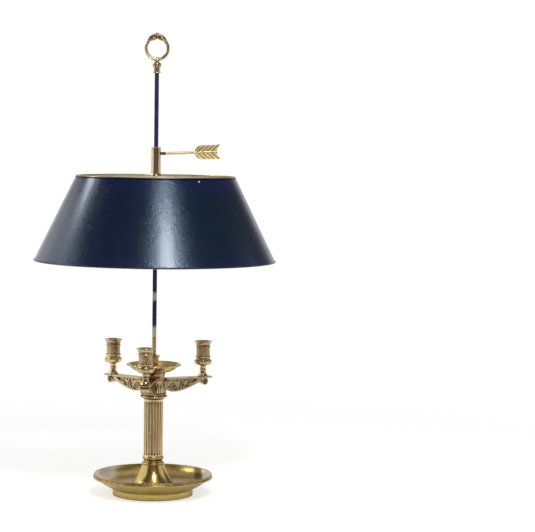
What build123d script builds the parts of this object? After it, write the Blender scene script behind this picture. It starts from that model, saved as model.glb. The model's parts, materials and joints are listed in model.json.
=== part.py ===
"""Three-candle bouillotte lamp in brass with a painted sheet-metal shade that slides on a square rod.

Millimetres. +Z is up, the origin is the centre of the foot ring's resting face, and -Y is the front.
The square rod and the arrow-shaped clamp screw are square to the X and Y axes; the three arms are
turned a few degrees from them. Every separate piece is written as its own STEP file.
"""

import os
from math import cos, degrees, radians, sin, sqrt, tan

from build123d import *

# ---------------------------------------------------------------- driving dimensions
# base tray and its foot ring
FOOT_RADIUS = 67.2
FOOT_WIDTH = 4.5
FOOT_HEIGHT = 11.0
TRAY_RADIUS = 100.4
TRAY_RIM_Z = 35.2
TRAY_FLOOR_Z = 20.5
TRAY_FLOOR_THICKNESS = 3.0
TRAY_FLOOR_RADIUS = 66.5

# tie rod that clamps the stem pieces together
TIE_ROD_RADIUS = 4.0
TIE_ROD_FIT = 0.05
TIE_ROD_LOW_Z = 6.0
TIE_ROD_HIGH_Z = 216.0
NUT_ACROSS_FLATS = 13.0
NUT_THICKNESS = 6.5
WASHER_RADIUS = 12.0
WASHER_THICKNESS = 1.5

# stem: bell foot, collar, fluted column, neck
BELL_RADIUS = 34.0
BELL_TOP_RADIUS = 19.3
BELL_TOP_Z = 54.2
BELL_WALL = 2.0
BELL_WAIST_RADIUS = 24.4
BELL_WAIST_Z = 35.0
COLLAR_TOP_Z = 66.4
COLUMN_RADIUS = 16.1
COLUMN_BORE_RADIUS = 12.5
COLUMN_TOP_Z = 158.6
FLUTE_COUNT = 20
FLUTE_RADIUS = 2.1
FLUTE_DEPTH = 1.7
FLUTE_END_MARGIN = 0.7
NECK_TOP_Z = 164.0
SPIGOT_LENGTH = 4.0
SPIGOT_FIT = 0.1

# hub and arms
HUB_RADIUS = 16.8
HUB_CAVITY_APOTHEM = 9.0
SEAT_DISTANCE = 20.0
SEAT_WIDTH = 13.0
ARM_TOP_Z = 196.0
ARM_DIRECTIONS = {"front": -98.9, "right": 21.1, "left": 141.1}
NOZZLE_DISTANCE = 88.9
ARM_DEPTH = 20.4
PLATE_THICKNESS = 3.0
PLATE_WIDTH = 15.8
PLATE_END = 104.0
TAB_THICKNESS = 2.0
PAD_RADIUS = 9.5
WEB_HALF_THICKNESS = 3.5
RELIEF_HALF_THICKNESS = 5.4
BORDER_HALF_THICKNESS = 6.0
BORDER_WIDTH = 2.0
ARM_SCREW_RADIUS = 1.6

# candle nozzles
NOZZLE_TOP_Z = 256.3
CANDLE_RADIUS = 9.6
CANDLE_DEPTH = 24.0
PEG_RADIUS = 2.4
PEG_FIT = 0.05

# drip dish, its stem and the rod socket above it
DISH_BOTTOM_Z = 206.5
DISH_RIM_Z = 220.6
DISH_RADIUS = 45.9
DISH_WALL = 1.6
SOCKET_TOP_Z = 234.8

# square rod, its round end piece and finial
ROD_SIDE = 7.1
SOCKET_FLOOR_Z = 219.5
ROD_TOP_Z = 705.7
ROD_END_RADIUS = 3.6
ROD_END_TOP_Z = 265.6
ROD_END_RING_PITCH = 5.2
ROD_FIT = 0.05
ROD_SPIGOT_RADIUS = 2.2
ROD_SPIGOT_LENGTH = 18.0
ROD_STUD_RADIUS = 2.5
FINIAL_CUP_TOP_Z = 724.0
FINIAL_STUD_RADIUS = 1.9
RING_CENTRE_Z = 746.3
RING_RADIUS = 18.2
RING_WIRE_RADIUS = 2.55
TAIL_RADIUS = 2.15
HEAD_ANGLE = 63.0
HEAD_LENGTH = 8.2

# sliding shade carriage
SLEEVE_RADIUS = 8.15
SLEEVE_LOW_Z = 534.7
SLEEVE_TOP_Z = 582.7
SLEEVE_BORE_SIDE = 7.4
SLEEVE_SPIGOT_RADIUS = 6.5
SLEEVE_SPIGOT_LENGTH = 7.0
SPIDER_DISC_RADIUS = 18.0
SPIDER_DISC_THICKNESS = 1.6
SPIDER_NUT_ACROSS_FLATS = 19.0
SPIDER_NUT_THICKNESS = 4.0
SPIDER_ARM_ANGLES = [-59.0, 61.0, 181.0]
SPIDER_ARM_WIDTH = 8.0
SPIDER_ARM_THICKNESS = 1.5
SPIDER_ARM_DROP = 1.6
SPIDER_TAB_LENGTH = 10.5

# shade
SHADE_LOW_Z = 394.4
SHADE_HIGH_Z = 534.2
SHADE_LOW_RADIUS = 200.2
SHADE_HIGH_RADIUS = 132.1
SHADE_THICKNESS = 0.8
LOW_RIM_WIRE_RADIUS = 1.5
HIGH_RIM_WIRE_RADIUS = 1.3
RIVET_DROP = 5.4
RIVET_RADIUS = 0.9
RIVET_HEAD_RADIUS = 1.7
RIVET_HEAD_HEIGHT = 0.8
RIVET_FIT = 0.05

# arrow-shaped clamp screw
ARROW_Z = 572.1
ARROW_CANT = 2.5
ARROW_THREAD_RADIUS = 1.9
ARROW_FERRULE_RADIUS = 2.6
ARROW_FERRULE_LENGTH = 5.5
ARROW_SHAFT_START_RADIUS = 2.3
ARROW_SHAFT_END_RADIUS = 2.0
ARROW_TIP_GAP = 0.3
VANE_START = 64.5
VANE_LENGTH = 38.0
VANE_HALF_HEIGHT = 11.6
VANE_HALF_THICKNESS = 1.1
VANE_TAIL_SWEEP = 5.5
BARB_COUNT = 9
BARB_ANGLE = 40.0
BARB_GROOVE_DEPTH = 0.55
BARB_GROOVE_FILL = 0.92


# ---------------------------------------------------------------- shared helpers
def outline(*steps):
    """A closed face. Each step is a point, reached by a straight run, or (through, end), reached by an arc."""
    here = steps[0]
    edges = []
    for step in [*steps[1:], steps[0]]:
        if isinstance(step[0], tuple):
            edges.append(ThreePointArc(here, step[0], step[1]))
            here = step[1]
        elif step != here:
            edges.append(Line(here, step))
            here = step
    return make_face(edges)


def turned(*steps):
    """A piece turned on a lathe about Z, from its half section in (radius, height)."""
    return revolve(Plane.XZ * outline(*steps), Axis.Z)


def dome(radius, base, top):
    """The outline step for a round cap over the axis, from (radius, base) up or down to (0, top)."""
    height = top - base
    ball = (radius**2 + height**2) / (2 * height)
    middle = radius / 2
    rise = sqrt(ball**2 - middle**2) * (1 if height > 0 else -1)
    return (middle, top - ball + rise), (0, top)


def bar(side, low, high):
    """A square bar or bore along Z."""
    return Pos(0, 0, (low + high) / 2) * Box(side, side, high - low)


def rod(radius, low, high):
    """A round bar or bore along Z."""
    return Pos(0, 0, (low + high) / 2) * Cylinder(radius, high - low)


def hexagon(across_flats, low, high, turn=0.0):
    """A hexagonal prism along Z, with a flat facing the direction turn."""
    face = RegularPolygon(across_flats / 2, 6, major_radius=False, rotation=turn + 30)
    return Pos(0, 0, low) * extrude(face, high - low)


def around(piece, directions):
    """Copies of a piece built along +X, turned about Z to each direction in degrees."""
    return [Rot(0, 0, angle) * piece for angle in directions]


def save(name, *solids):
    """Writes one sub-part: one solid, or several identical ones in one node."""
    shape = solids[0] if len(solids) == 1 else Compound(children=list(solids))
    export_step(shape, f"parts/{name}.step")


# ---------------------------------------------------------------- base and stem
def base_tray():
    """Dished tray: a deep lip with a bead over a torus, a wide flare, a flat floor and a foot ring beneath."""
    foot_inside = FOOT_RADIUS - FOOT_WIDTH
    underside = TRAY_FLOOR_Z - TRAY_FLOOR_THICKNESS
    hole = TIE_ROD_RADIUS + TIE_ROD_FIT
    return turned(
        (foot_inside, 0),
        (FOOT_RADIUS, 0),
        (FOOT_RADIUS, FOOT_HEIGHT - 1.2),
        ((FOOT_RADIUS + 0.4, FOOT_HEIGHT - 0.4), (FOOT_RADIUS + 1.2, FOOT_HEIGHT)),
        ((TRAY_RADIUS - 19.1, FOOT_HEIGHT + 7.0), (TRAY_RADIUS - 5.8, TRAY_RIM_Z - 7.9)),
        (TRAY_RADIUS - 2.6, TRAY_RIM_Z - 7.4),
        ((TRAY_RADIUS, TRAY_RIM_Z - 4.8), (TRAY_RADIUS - 1.7, TRAY_RIM_Z - 2.8)),
        ((TRAY_RADIUS - 1.1, TRAY_RIM_Z - 1.4), (TRAY_RADIUS - 3.0, TRAY_RIM_Z)),
        (TRAY_RADIUS - 5.2, TRAY_RIM_Z - 0.6),
        ((TRAY_RADIUS - 16.5, TRAY_FLOOR_Z + 2.2), (TRAY_FLOOR_RADIUS, TRAY_FLOOR_Z)),
        (hole, TRAY_FLOOR_Z),
        (hole, underside),
        (foot_inside - 2.0, underside),
        ((foot_inside - 0.6, underside - 0.6), (foot_inside, underside - 2.0)),
    )


def tie_rod():
    return rod(TIE_ROD_RADIUS, TIE_ROD_LOW_Z, TIE_ROD_HIGH_Z)


def tie_rod_washer():
    high = TRAY_FLOOR_Z - TRAY_FLOOR_THICKNESS
    low = high - WASHER_THICKNESS
    return rod(WASHER_RADIUS, low, high) - rod(TIE_ROD_RADIUS + TIE_ROD_FIT, low, high)


def tie_rod_nut():
    high = TRAY_FLOOR_Z - TRAY_FLOOR_THICKNESS - WASHER_THICKNESS
    low = high - NUT_THICKNESS
    return hexagon(NUT_ACROSS_FLATS, low, high) - rod(TIE_ROD_RADIUS + TIE_ROD_FIT, low, high)


def column_bell():
    """Hollow bell foot that flares from the stem down to the tray's floor, with a flat flange on top."""
    hole = TIE_ROD_RADIUS + TIE_ROD_FIT
    neck = BELL_TOP_RADIUS - 1.4
    return turned(
        (BELL_RADIUS, TRAY_FLOOR_Z),
        (BELL_RADIUS, TRAY_FLOOR_Z + 0.6),
        ((BELL_WAIST_RADIUS, BELL_WAIST_Z), (neck, BELL_TOP_Z - 3.4)),
        (BELL_TOP_RADIUS - 0.4, BELL_TOP_Z - 2.8),
        ((BELL_TOP_RADIUS, BELL_TOP_Z - 1.4), (BELL_TOP_RADIUS - 0.4, BELL_TOP_Z)),
        (hole, BELL_TOP_Z),
        (hole, BELL_TOP_Z - BELL_WALL),
        (neck - BELL_WALL, BELL_TOP_Z - BELL_WALL),
        ((BELL_WAIST_RADIUS - BELL_WALL, BELL_WAIST_Z - 0.8), (BELL_RADIUS - 2.8, TRAY_FLOOR_Z)),
    )


def column_collar():
    """Base moulding of the column: a hollow cove under a round bead, with a spigot that centres the shaft."""
    hole = TIE_ROD_RADIUS + TIE_ROD_FIT
    spigot = COLUMN_BORE_RADIUS - SPIGOT_FIT
    return turned(
        (hole, BELL_TOP_Z),
        (17.6, BELL_TOP_Z),
        (17.2, BELL_TOP_Z + 1.2),
        ((14.9, BELL_TOP_Z + 3.0), (16.2, BELL_TOP_Z + 4.8)),
        ((17.8, BELL_TOP_Z + 8.2), (16.2, BELL_TOP_Z + 11.6)),
        (16.2, COLLAR_TOP_Z),
        (spigot, COLLAR_TOP_Z),
        (spigot, COLLAR_TOP_Z + SPIGOT_LENGTH),
        (hole, COLLAR_TOP_Z + SPIGOT_LENGTH),
    )


def column_shaft():
    """Hollow shaft with round-ended flutes between narrow flat fillets."""
    low = COLLAR_TOP_Z + FLUTE_END_MARGIN + FLUTE_RADIUS
    high = COLUMN_TOP_Z - FLUTE_END_MARGIN - FLUTE_RADIUS
    flute = rod(FLUTE_RADIUS, low, high)
    flute += Pos(0, 0, low) * Sphere(FLUTE_RADIUS) + Pos(0, 0, high) * Sphere(FLUTE_RADIUS)
    flute = Pos(COLUMN_RADIUS + FLUTE_RADIUS - FLUTE_DEPTH, 0, 0) * flute
    tube = rod(COLUMN_RADIUS, COLLAR_TOP_Z, COLUMN_TOP_Z) - rod(COLUMN_BORE_RADIUS, COLLAR_TOP_Z, COLUMN_TOP_Z)
    return tube - around(flute, [360 / FLUTE_COUNT * (n + 0.5) for n in range(FLUTE_COUNT)])


def column_neck():
    """Top moulding of the column: a round bead under a narrow fillet that meets the hub."""
    hole = TIE_ROD_RADIUS + TIE_ROD_FIT
    spigot = COLUMN_BORE_RADIUS - SPIGOT_FIT
    return turned(
        (hole, COLUMN_TOP_Z - SPIGOT_LENGTH),
        (spigot, COLUMN_TOP_Z - SPIGOT_LENGTH),
        (spigot, COLUMN_TOP_Z),
        (16.2, COLUMN_TOP_Z),
        (16.2, COLUMN_TOP_Z + 0.4),
        ((17.2, COLUMN_TOP_Z + 2.3), (16.2, COLUMN_TOP_Z + 4.2)),
        (15.6, COLUMN_TOP_Z + 4.5),
        (15.6, NECK_TOP_Z),
        (hole, NECK_TOP_Z),
    )


# ---------------------------------------------------------------- hub and arms
def lancet(width, low, high):
    """A pointed leaf outline standing on its base, from two arcs that meet at the tip."""
    half = width / 2
    belly = low + (high - low) * 0.45
    return outline((-half, low), (half, low), ((half * 0.93, belly), (0, high)), ((-half * 0.93, belly), (-half, low)))


def arm_hub():
    """Round capital with a beaded flange, three arched seats for the arms and pointed leaves between them."""
    low, high = NECK_TOP_Z, ARM_TOP_Z
    leaf_foot = low + 7.4
    hub = turned(
        (TIE_ROD_RADIUS + TIE_ROD_FIT, low),
        (20.6, low),
        ((22.8, low + 2.0), (20.9, low + 4.0)),
        (20.0, low + 4.4),
        ((20.9, low + 5.7), (19.9, low + 7.0)),
        (HUB_RADIUS + 1.2, leaf_foot),
        (HUB_RADIUS, leaf_foot),
        (HUB_RADIUS, high - 6.0),
        ((HUB_RADIUS + 0.6, high - 3.4), (HUB_RADIUS + 2.4, high - 2.2)),
        (HUB_RADIUS + 2.4, high),
        (TIE_ROD_RADIUS + TIE_ROD_FIT, high),
    )
    arch_z = high - SEAT_WIDTH / 2
    seat = Pos(0, (leaf_foot + arch_z) / 2) * Rectangle(SEAT_WIDTH, arch_z - leaf_foot)
    seat += Pos(0, arch_z) * Circle(SEAT_WIDTH / 2)
    inside = HUB_RADIUS - 2
    seat = Pos(inside, 0, 0) * extrude(Plane.YZ * seat, SEAT_DISTANCE - inside)
    hub += around(seat, ARM_DIRECTIONS.values())
    leaf_skin = turned(
        (HUB_RADIUS - 1, leaf_foot),
        (HUB_RADIUS + 1.2, leaf_foot),
        ((HUB_RADIUS + 1.9, leaf_foot + 9), (HUB_RADIUS + 0.4, high - 6.5)),
        (HUB_RADIUS - 1, high - 6.5),
    )
    leaf = Plane.YZ * lancet(7.0, leaf_foot, high - 7.0)
    leaf = extrude(leaf, HUB_RADIUS + 4) & leaf_skin
    vein = Pos(HUB_RADIUS + 2.2, 0, leaf_foot + 8) * (Rot(0, 0, 45) * Box(1.5, 1.5, 13))
    leaf -= vein
    between = [angle + 60 + step for angle in ARM_DIRECTIONS.values() for step in (-25, 0, 25)]
    hub += around(leaf, between)
    cavity_top = high - 3.5
    hub -= hexagon(2 * HUB_CAVITY_APOTHEM, low, cavity_top, turn=ARM_DIRECTIONS["front"])
    screw_hole = Pos(SEAT_DISTANCE / 2 + 2, 0, arm_screw_z()) * (Rot(0, 90, 0) * Cylinder(ARM_SCREW_RADIUS + 0.1, 20))
    return hub - around(screw_hole, ARM_DIRECTIONS.values())


def arm_screw_z():
    return (NECK_TOP_Z + ARM_TOP_Z) / 2 + 3.0


def arm_screw():
    """Cheese-head screw from inside the hub into an arm's root, along +X."""
    head_height = 2.0
    shank_end = SEAT_DISTANCE + 8.0
    shank = Pos((HUB_CAVITY_APOTHEM + shank_end) / 2, 0, 0) * (
        Rot(0, 90, 0) * Cylinder(ARM_SCREW_RADIUS, shank_end - HUB_CAVITY_APOTHEM)
    )
    head = Pos(HUB_CAVITY_APOTHEM - head_height / 2, 0, 0) * (Rot(0, 90, 0) * Cylinder(3.0, head_height))
    return Pos(0, 0, arm_screw_z()) * (shank + head)


def volute(centre, radius, half_turns, shrink, width, start=0.0, mirrored=False):
    """A spiral band that winds inwards from its start direction in half circles, each shrink times the last."""
    side = -1 if mirrored else 1

    def chain(first_radius):
        ends = [first_radius * shrink**n * (-1) ** n for n in range(half_turns + 1)]
        arcs = []
        for n, (a, b) in enumerate(zip(ends, ends[1:])):
            rise = abs(a - b) / 2 * (-1) ** n * side
            arcs.append(((a, 0), ((a + b) / 2, rise), (b, 0)))
        return arcs

    outer, inner = chain(radius), chain(radius - width)
    edges = [ThreePointArc(*arc) for arc in outer]
    edges += [Line(outer[-1][2], inner[-1][2])]
    edges += [ThreePointArc(*reversed(arc)) for arc in reversed(inner)]
    edges += [Line(inner[0][0], outer[0][0])]
    eye_reach = radius * shrink**half_turns * (-1) ** half_turns
    eye_width = width * shrink**half_turns
    band = make_face(edges) + Pos(eye_reach - eye_width / 2 * (1 if eye_reach > 0 else -1), 0) * Circle(eye_width * 0.9)
    return Pos(*centre) * (Rot(0, 0, start) * band)


def petal(tip, base, width):
    """A leaf outline between two points, from two arcs."""
    (x0, z0), (x1, z1) = base, tip
    length = sqrt((x1 - x0) ** 2 + (z1 - z0) ** 2)
    across = (-(z1 - z0) / length * width / 2, (x1 - x0) / length * width / 2)
    middle = ((x0 + x1) / 2, (z0 + z1) / 2)
    left = (middle[0] + across[0], middle[1] + across[1])
    right = (middle[0] - across[0], middle[1] - across[1])
    return outline(base, (left, tip), (right, base))


def arm_panel(inset=0.0):
    """Side face of the arm, measured from the plate's underside: a quarter-round root, then an ogee to the tip."""
    start = SEAT_DISTANCE + inset
    foot = (start, inset - 0.71 * ARM_DEPTH)
    root = (33.0, inset - ARM_DEPTH)
    tip = (85.0 - 4.0 * inset, 1.45 * inset - 4.0)
    top = PLATE_THICKNESS / 6
    edges = [
        ThreePointArc(foot, (24.5 + inset * 0.7, inset * 0.7 - 0.9 * ARM_DEPTH), root),
        Bezier(root, (48.0 - inset, inset - 1.05 * ARM_DEPTH), (68.0 - inset, inset - 0.6 * ARM_DEPTH), tip),
        Line(tip, (tip[0], top)),
        Line((tip[0], top), (start, top)),
        Line((start, top), foot),
    ]
    return make_face(edges)


def arm_relief():
    """Raised carving on the arm's side: two volutes, a spray of lobes, a leaf at each end and a row of beads."""
    relief = volute((34.8, -11.8), 7.4, 4, 0.70, 2.1, start=-100, mirrored=True)
    relief += volute((50.4, -8.8), 4.9, 3, 0.66, 1.6, start=-90, mirrored=True)
    for n in range(3):
        foot = (39.4 + 5.6 * n, -18.2 + 1.3 * n)
        relief += petal((foot[0] + 3.8, foot[1] + 4.2), foot, 2.6)
    relief += petal((29.4, -17.6), (22.2, -13.0), 3.2)
    relief += petal((69.0, -6.0), (58.6, -9.8), 3.0)
    for n in range(4):
        relief += Pos(43.6 + 6.6 * n, -1.7) * Circle(2.2)
    return relief


def arm():
    """Scrolled bracket arm along +X: top plate with an end tab, carving on both sides, and a rolled volute."""
    panel = arm_panel()
    border = panel - arm_panel(BORDER_WIDTH)
    relief = arm_relief() & panel

    def slab(face, half):
        return extrude(Plane.XZ * face, half, both=True)

    body = slab(panel, WEB_HALF_THICKNESS) + slab(border, BORDER_HALF_THICKNESS)
    body += slab(relief, RELIEF_HALF_THICKNESS)
    plate_end = PLATE_END - 8.5
    plate = Pos((SEAT_DISTANCE + plate_end) / 2, 0) * Rectangle(plate_end - SEAT_DISTANCE, PLATE_WIDTH)
    plate += Pos(NOZZLE_DISTANCE, 0) * Circle(PAD_RADIUS)
    body += extrude(plate, PLATE_THICKNESS)
    tab = Pos(PLATE_END - 6, 0) * RectangleRounded(12, PLATE_WIDTH, 2.0)
    body += Pos(0, 0, PLATE_THICKNESS - TAB_THICKNESS) * extrude(tab, TAB_THICKNESS)
    body += end_roll()
    body = Pos(0, 0, ARM_TOP_Z - PLATE_THICKNESS) * body
    peg_hole = Pos(NOZZLE_DISTANCE, 0, 0) * rod(PEG_RADIUS + PEG_FIT, ARM_TOP_Z - PLATE_THICKNESS, ARM_TOP_Z)
    screw_hole = Pos(SEAT_DISTANCE + 4, 0, arm_screw_z()) * (Rot(0, 90, 0) * Cylinder(ARM_SCREW_RADIUS + 0.05, 8.4))
    return body - peg_hole - screw_hole


def end_roll():
    """The volute rolled under the arm's tip, hanging from the plate's outer end."""
    radius = 6.2
    centre = (89.0, -5.7)
    outer = centre[0] + radius
    roll = volute(centre, radius, 3, 0.68, 1.7, mirrored=True)
    hanger = outline(
        (outer - 1.7, centre[1]),
        (outer, centre[1]),
        ((outer - 0.2, -1.6), (outer - 1.2, 0)),
        (outer - 3.4, 0),
        ((outer - 2.1, -2.2), (outer - 1.7, centre[1])),
    )
    return extrude(Plane.XZ * (roll + hanger), PLATE_WIDTH / 2 - 0.5, both=True)


def candle_nozzle():
    """Turned candle cup standing at the origin: pierced foot peg, baluster stem, bulge, banded cup, flared lip."""
    foot, top = ARM_TOP_Z, NOZZLE_TOP_Z
    cup_floor = top - CANDLE_DEPTH
    return turned(
        (0, foot - PLATE_THICKNESS),
        (PEG_RADIUS, foot - PLATE_THICKNESS),
        (PEG_RADIUS, foot),
        (8.7, foot),
        (8.7, foot + 1.0),
        ((6.1, foot + 4.6), (5.0, foot + 10.2)),
        (5.4, foot + 10.8),
        ((5.9, foot + 11.7), (5.4, foot + 12.6)),
        (4.9, foot + 13.2),
        ((5.6, foot + 17.4), (9.4, foot + 19.6)),
        ((13.8, foot + 22.0), (15.0, foot + 26.0)),
        (15.0, foot + 27.0),
        ((13.0, foot + 28.3), (11.9, foot + 31.0)),
        (11.9, foot + 32.2),
        (12.3, foot + 32.6),
        ((12.8, foot + 33.8), (12.3, foot + 35.0)),
        (11.3, foot + 35.6),
        (11.3, top - 12.0),
        (11.9, top - 11.4),
        ((12.3, top - 10.2), (11.9, top - 9.0)),
        (11.4, top - 8.4),
        (11.4, top - 7.2),
        (12.1, top - 6.8),
        ((12.4, top - 4.4), (14.5, top - 1.6)),
        ((15.1, top - 0.8), (14.5, top)),
        (CANDLE_RADIUS + 2.2, top),
        ((CANDLE_RADIUS + 0.6, top - 0.7), (CANDLE_RADIUS, top - 2.0)),
        (CANDLE_RADIUS, cup_floor),
        (0, cup_floor),
    )


# ---------------------------------------------------------------- dish, socket, rod, finial
def dish_stem():
    """Wide waisted drum that carries the drip dish above the hub, with a bead at its foot and one at its top."""
    low, high = ARM_TOP_Z, DISH_BOTTOM_Z
    hole = TIE_ROD_RADIUS + TIE_ROD_FIT
    return turned(
        (hole, low),
        (18.7, low),
        ((19.5, low + 1.0), (18.8, low + 2.0)),
        ((18.3, low + 5.6), (19.4, high - 1.8)),
        ((20.0, high - 0.9), (19.4, high)),
        (hole, high),
    )


def drip_dish():
    """Shallow bowl with a rolled lip, seated on its stem."""
    hole = TIE_ROD_RADIUS + TIE_ROD_FIT
    floor = DISH_BOTTOM_Z + DISH_WALL
    return turned(
        (hole, DISH_BOTTOM_Z),
        (19.8, DISH_BOTTOM_Z),
        ((33.0, DISH_BOTTOM_Z + 4.0), (40.5, DISH_RIM_Z - 4.6)),
        (43.6, DISH_RIM_Z - 2.6),
        ((DISH_RADIUS, DISH_RIM_Z - 1.2), (DISH_RADIUS - 1.0, DISH_RIM_Z)),
        (DISH_RADIUS - 2.4, DISH_RIM_Z - 0.3),
        (39.2, DISH_RIM_Z - 3.2),
        ((32.0, DISH_BOTTOM_Z + 5.6), (19.4, floor)),
        (hole, floor),
    )


def rod_socket():
    """Vase-shaped socket screwed on the tie rod, with a round pocket for the rod's end piece."""
    floor = DISH_BOTTOM_Z + DISH_WALL
    socket = turned(
        (0, floor),
        (10.6, floor),
        ((10.9, floor + 1.4), (9.2, floor + 2.4)),
        ((6.6, floor + 5.6), (6.3, floor + 10.5)),
        (7.4, floor + 11.2),
        ((7.9, floor + 12.2), (7.4, floor + 13.2)),
        (6.7, floor + 13.8),
        ((7.4, floor + 18.4), (8.2, SOCKET_TOP_Z - 3.2)),
        (8.0, SOCKET_TOP_Z - 2.4),
        ((10.1, SOCKET_TOP_Z - 1.2), (9.6, SOCKET_TOP_Z)),
        (0, SOCKET_TOP_Z),
    )
    pocket = rod(ROD_END_RADIUS + ROD_FIT, SOCKET_FLOOR_Z, SOCKET_TOP_Z)
    return socket - pocket - rod(TIE_ROD_RADIUS + TIE_ROD_FIT, floor, TIE_ROD_HIGH_Z + 0.5)


def rod_end():
    """Ringed round end piece, screwed into the socket and bored for the rod's spigot."""
    end = rod(ROD_END_RADIUS, SOCKET_FLOOR_Z, ROD_END_TOP_Z)
    end = chamfer(end.edges().group_by(Axis.Z)[-1], 0.4)
    end -= rod(ROD_SPIGOT_RADIUS + ROD_FIT, ROD_END_TOP_Z - ROD_SPIGOT_LENGTH, ROD_END_TOP_Z)
    ring_cut = Circle(0.55)
    count = int((ROD_END_TOP_Z - SOCKET_TOP_Z) / ROD_END_RING_PITCH)
    for n in range(count):
        z = ROD_END_TOP_Z - 3.0 - n * ROD_END_RING_PITCH
        end -= revolve(Plane.XZ * (Pos(ROD_END_RADIUS + 0.25, z) * ring_cut), Axis.Z)
    return end


def shade_rod():
    """Square rod with a round spigot below, and a round stud on top for the finial."""
    body = bar(ROD_SIDE, ROD_END_TOP_Z, ROD_TOP_Z)
    body = fillet(body.edges().filter_by(Axis.Z), 0.5)
    body += rod(ROD_SPIGOT_RADIUS, ROD_END_TOP_Z - ROD_SPIGOT_LENGTH, ROD_END_TOP_Z)
    return body + rod(ROD_STUD_RADIUS, ROD_TOP_Z, ROD_TOP_Z + 11)


def finial_cup():
    """Small vase screwed on the rod's stud: a bottom flange, and eight upright lobes under a rounded shoulder."""
    low, high = ROD_TOP_Z, FINIAL_CUP_TOP_Z
    bore = ROD_STUD_RADIUS + 0.05
    ring_stud = FINIAL_STUD_RADIUS + 0.05
    cup = turned(
        (bore, low),
        (6.1, low),
        ((6.5, low + 0.9), (6.1, low + 1.8)),
        (5.1, low + 2.4),
        ((5.2, low + 7.0), (6.9, low + 12.4)),
        ((7.4, low + 14.0), (6.8, low + 15.6)),
        ((5.4, low + 17.2), (3.0, high)),
        (ring_stud, high),
        (ring_stud, low + 13.0),
        (bore, low + 13.0),
    )
    valley = Pos(6.8, 0, low + 9.2) * (Rot(0, 11, 0) * (Rot(0, 0, 45) * Box(3.0, 3.0, 10.5)))
    return cup - around(valley, [22.5 + 45 * n for n in range(8)])


def serpent_head():
    """A snake's head along +X from its neck at the origin: widest behind the eyes, blunt at the nose."""
    head = revolve(
        Plane.XY * outline((-3.0, 0), (-3.0, 2.5), ((0.8, 3.6), (4.0, 3.1)), (7.0, 2.2), dome_side(2.2, 7.0, 8.2)),
        Axis.X,
    )
    for side in (-1, 1):
        head += Pos(1.8, side * 2.8, 2.0) * Sphere(0.85)
    return head


def dome_side(radius, base, top):
    """The same cap as dome, for a piece revolved about X."""
    (middle, rise), _ = dome(radius, base, top)
    return (rise, middle), (top, 0)


def ring_wire(start, end, radius):
    """A round wire along the ring, from start to end in degrees above the +X side."""
    path = Plane.XZ * CenterArc((0, 0), RING_RADIUS, start, end - start)
    return sweep(Plane(path @ 0, z_dir=path % 0) * Circle(radius), path=path)


def tail(side, y):
    """One serpent's tail, crossed over the top of the ring from side to side."""
    path = Plane.XZ.offset(-y) * ThreePointArc((side * 14.4, 12.4), (side * 2.0, 22.3), (-side * 8.4, 19.6))
    wire = sweep(Plane(path @ 0, z_dir=path % 0) * Circle(TAIL_RADIUS), path=path)
    for end in (path @ 0, path @ 1):
        wire += Pos(end) * Sphere(TAIL_RADIUS)
    return wire


def finial_ring():
    """Lifting ring of two serpents: their heads meet at the top under crossed tails and a bead, over a knop."""
    wire_end = HEAD_ANGLE - 2
    ring = ring_wire(-180 - wire_end, wire_end, RING_WIRE_RADIUS)
    lean = degrees(HEAD_LENGTH / 2 / RING_RADIUS)
    for side in (-1, 1):
        towards = HEAD_ANGLE + lean + 90 if side > 0 else 90 - HEAD_ANGLE - lean
        neck = Pos(side * RING_RADIUS * cos(radians(HEAD_ANGLE)), 0, RING_RADIUS * sin(radians(HEAD_ANGLE)))
        ring += neck * (Rot(0, -towards, 0) * serpent_head())
        ring += tail(side, side * 1.1)
    ring += Pos(0, 0, RING_RADIUS + 0.3) * Sphere(2.7)
    ring += Pos(0, 0, RING_RADIUS + 5.0) * Sphere(3.0)
    ring += Pos(0, 0, 1.4 - RING_RADIUS) * Sphere(2.8)
    knop = turned(
        (0, FINIAL_CUP_TOP_Z - 4.5),
        (FINIAL_STUD_RADIUS, FINIAL_CUP_TOP_Z - 4.5),
        (FINIAL_STUD_RADIUS, FINIAL_CUP_TOP_Z),
        (2.9, FINIAL_CUP_TOP_Z),
        ((3.7, FINIAL_CUP_TOP_Z + 1.5), (2.9, FINIAL_CUP_TOP_Z + 3.0)),
        dome(2.9, FINIAL_CUP_TOP_Z + 3.0, FINIAL_CUP_TOP_Z + 6.0),
    )
    return knop + Pos(0, 0, RING_CENTRE_Z) * ring


# ---------------------------------------------------------------- shade carriage
def arrow_place(piece):
    """Moves a piece built along +X from the origin to the arrow screw's axis."""
    return Pos(0, 0, ARROW_Z) * (Rot(0, -ARROW_CANT, 0) * piece)


def slide_sleeve():
    """Round tube with a square bore that slides on the rod, a foot collar and a threaded spigot below."""
    low, high = SLEEVE_LOW_Z, SLEEVE_TOP_Z
    sleeve = turned(
        (0, low - SLEEVE_SPIGOT_LENGTH),
        (SLEEVE_SPIGOT_RADIUS, low - SLEEVE_SPIGOT_LENGTH),
        (SLEEVE_SPIGOT_RADIUS, low),
        (SLEEVE_RADIUS + 0.9, low),
        ((SLEEVE_RADIUS + 1.4, low + 1.5), (SLEEVE_RADIUS + 0.7, low + 3.0)),
        (SLEEVE_RADIUS, low + 4.2),
        (SLEEVE_RADIUS, high - 0.6),
        (SLEEVE_RADIUS - 0.6, high),
        (0, high),
    )
    sleeve -= bar(SLEEVE_BORE_SIDE, low - SLEEVE_SPIGOT_LENGTH, high)
    tapped_hole = Pos(SLEEVE_RADIUS, 0, 0) * (Rot(0, 90, 0) * Cylinder(ARROW_THREAD_RADIUS + 0.05, 2 * SLEEVE_RADIUS))
    return sleeve - arrow_place(tapped_hole)


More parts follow.
